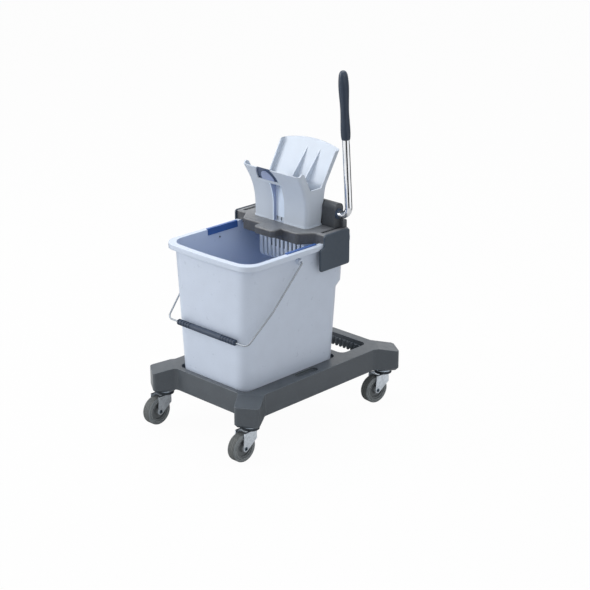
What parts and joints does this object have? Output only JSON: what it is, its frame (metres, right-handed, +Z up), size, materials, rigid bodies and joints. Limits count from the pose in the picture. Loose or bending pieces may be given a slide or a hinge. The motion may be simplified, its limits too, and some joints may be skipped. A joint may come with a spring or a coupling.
{
  "type": "mop bucket trolley",
  "caption": "Mop bucket trolley: a tapered bucket with a wire bail on a low wheeled chassis, with a side-lever press and funnel across the rim to wring a flat mop.",
  "frame": {"origin": "on the floor, under the middle of the bounding box", "axes": "+Z up, -Y the front where the bail hangs, +X the right side with the lever"},
  "size_m": [0.41, 0.6213, 0.9435],
  "materials": {
    "chassis_plastic": "moulded, satin dark grey",
    "bucket_plastic": "moulded, smooth pale blue-grey",
    "press_plastic": "moulded, satin grey",
    "bracket_plastic": "moulded, dark slate grey",
    "funnel_plastic": "moulded, smooth very pale grey",
    "grip_plastic": "moulded, dark slate grey",
    "clip_plastic": "moulded, blue",
    "catch_plastic": "moulded, smooth blue-grey",
    "hub_plastic": "moulded, mid grey",
    "grey_rubber": "non-marking grey rubber",
    "zinc_steel": "zinc plated",
    "chrome_tube": "chrome plated"
  },
  "bodies": {
    "chassis": {"chassis": "chassis_plastic", "front_left_swivel_stem": "zinc_steel", "front_right_swivel_stem": "zinc_steel", "rear_left_swivel_stem": "zinc_steel", "rear_right_swivel_stem": "zinc_steel"},
    "front_left_castor": {"front_left_fork": "zinc_steel", "front_left_axle": "zinc_steel"},
    "front_left_wheel": {"front_left_hub": "hub_plastic", "front_left_tyre": "grey_rubber"},
    "front_right_castor": {"front_right_fork": "zinc_steel", "front_right_axle": "zinc_steel"},
    "front_right_wheel": {"front_right_hub": "hub_plastic", "front_right_tyre": "grey_rubber"},
    "rear_left_castor": {"rear_left_fork": "zinc_steel", "rear_left_axle": "zinc_steel"},
    "rear_left_wheel": {"rear_left_hub": "hub_plastic", "rear_left_tyre": "grey_rubber"},
    "rear_right_castor": {"rear_right_fork": "zinc_steel", "rear_right_axle": "zinc_steel"},
    "rear_right_wheel": {"rear_right_hub": "hub_plastic", "rear_right_tyre": "grey_rubber"},
    "bucket": {"bucket": "bucket_plastic", "left_colour_clip": "clip_plastic", "right_colour_clip": "clip_plastic"},
    "bail": {"bail_wire": "zinc_steel"},
    "bail_grip": {"bail_grip": "grip_plastic"},
    "press": {"press_frame": "press_plastic", "left_rim_bracket": "bracket_plastic", "right_rim_bracket": "bracket_plastic", "funnel": "funnel_plastic", "catch_plate": "bracket_plastic", "catch_tongue": "catch_plastic", "drain_basket": "funnel_plastic", "shaft_housing": "press_plastic", "left_shaft_bush": "grip_plastic", "right_shaft_bush": "grip_plastic", "hinge_pin": "zinc_steel", "left_front_housing_screw": "zinc_steel", "left_rear_housing_screw": "zinc_steel", "right_front_housing_screw": "zinc_steel", "right_rear_housing_screw": "zinc_steel"},
    "lever": {"lever_tube": "chrome_tube", "lever_grip": "grip_plastic", "cam_shaft": "zinc_steel", "cross_pin": "zinc_steel", "left_cam": "hub_plastic", "right_cam": "hub_plastic", "return_spring": "zinc_steel"},
    "jaw": {"press_jaw": "press_plastic"}
  },
  "joints": [
    {"name": "front_left_swivel", "type": "hinge", "parent": "chassis", "child": "front_left_castor", "pos_m": [-0.161, -0.24015, 0], "axis": [0, 0, 1], "continuous": true},
    {"name": "front_left_spin", "type": "hinge", "parent": "front_left_castor", "child": "front_left_wheel", "pos_m": [-0.161, -0.27315, 0.0375], "axis": [1, 0, 0], "continuous": true},
    {"name": "front_right_swivel", "type": "hinge", "parent": "chassis", "child": "front_right_castor", "pos_m": [0.161, -0.24015, 0], "axis": [0, 0, 1], "continuous": true},
    {"name": "front_right_spin", "type": "hinge", "parent": "front_right_castor", "child": "front_right_wheel", "pos_m": [0.161, -0.27315, 0.0375], "axis": [1, 0, 0], "continuous": true},
    {"name": "rear_left_swivel", "type": "hinge", "parent": "chassis", "child": "rear_left_castor", "pos_m": [-0.161, 0.26585, 0], "axis": [0, 0, 1], "continuous": true},
    {"name": "rear_left_spin", "type": "hinge", "parent": "rear_left_castor", "child": "rear_left_wheel", "pos_m": [-0.161, 0.23285, 0.0375], "axis": [1, 0, 0], "continuous": true},
    {"name": "rear_right_swivel", "type": "hinge", "parent": "chassis", "child": "rear_right_castor", "pos_m": [0.161, 0.26585, 0], "axis": [0, 0, 1], "continuous": true},
    {"name": "rear_right_spin", "type": "hinge", "parent": "rear_right_castor", "child": "rear_right_wheel", "pos_m": [0.15698, 0.23309, 0.0375], "axis": [0.9925, -0.1219, 0], "continuous": true},
    {"name": "bucket_lift", "type": "slide", "parent": "chassis", "child": "bucket", "axis": [0, 0, 1], "range_m": [0, 0.15]},
    {"name": "bail_swing", "type": "hinge", "parent": "bucket", "child": "bail", "pos_m": [0, -0.05315, 0.472], "axis": [-1, 0, 0], "range_deg": [0, 134]},
    {"name": "bail_grip_roll", "type": "hinge", "parent": "bail", "child": "bail_grip", "pos_m": [0, -0.23543, 0.29225], "axis": [1, 0, 0], "continuous": true},
    {"name": "press_lift", "type": "slide", "parent": "bucket", "child": "press", "axis": [0, 0, 1], "range_m": [0, 0.15]},
    {"name": "lever_pull", "type": "hinge", "parent": "press", "child": "lever", "pos_m": [0, 0.10085, 0.562], "axis": [1, 0, 0], "range_deg": [0, 85], "stiffness_Nm_per_rad": 2, "springref_deg": -28.65},
    {"name": "jaw_swing", "type": "hinge", "parent": "press", "child": "jaw", "pos_m": [0, 0.08485, 0.597], "axis": [1, 0, 0], "range_deg": [-6.4, 0]}
  ],
  "couplings": [
    {"joint": "jaw_swing", "follows": "lever_pull", "ratio": -0.075294}
  ]
}
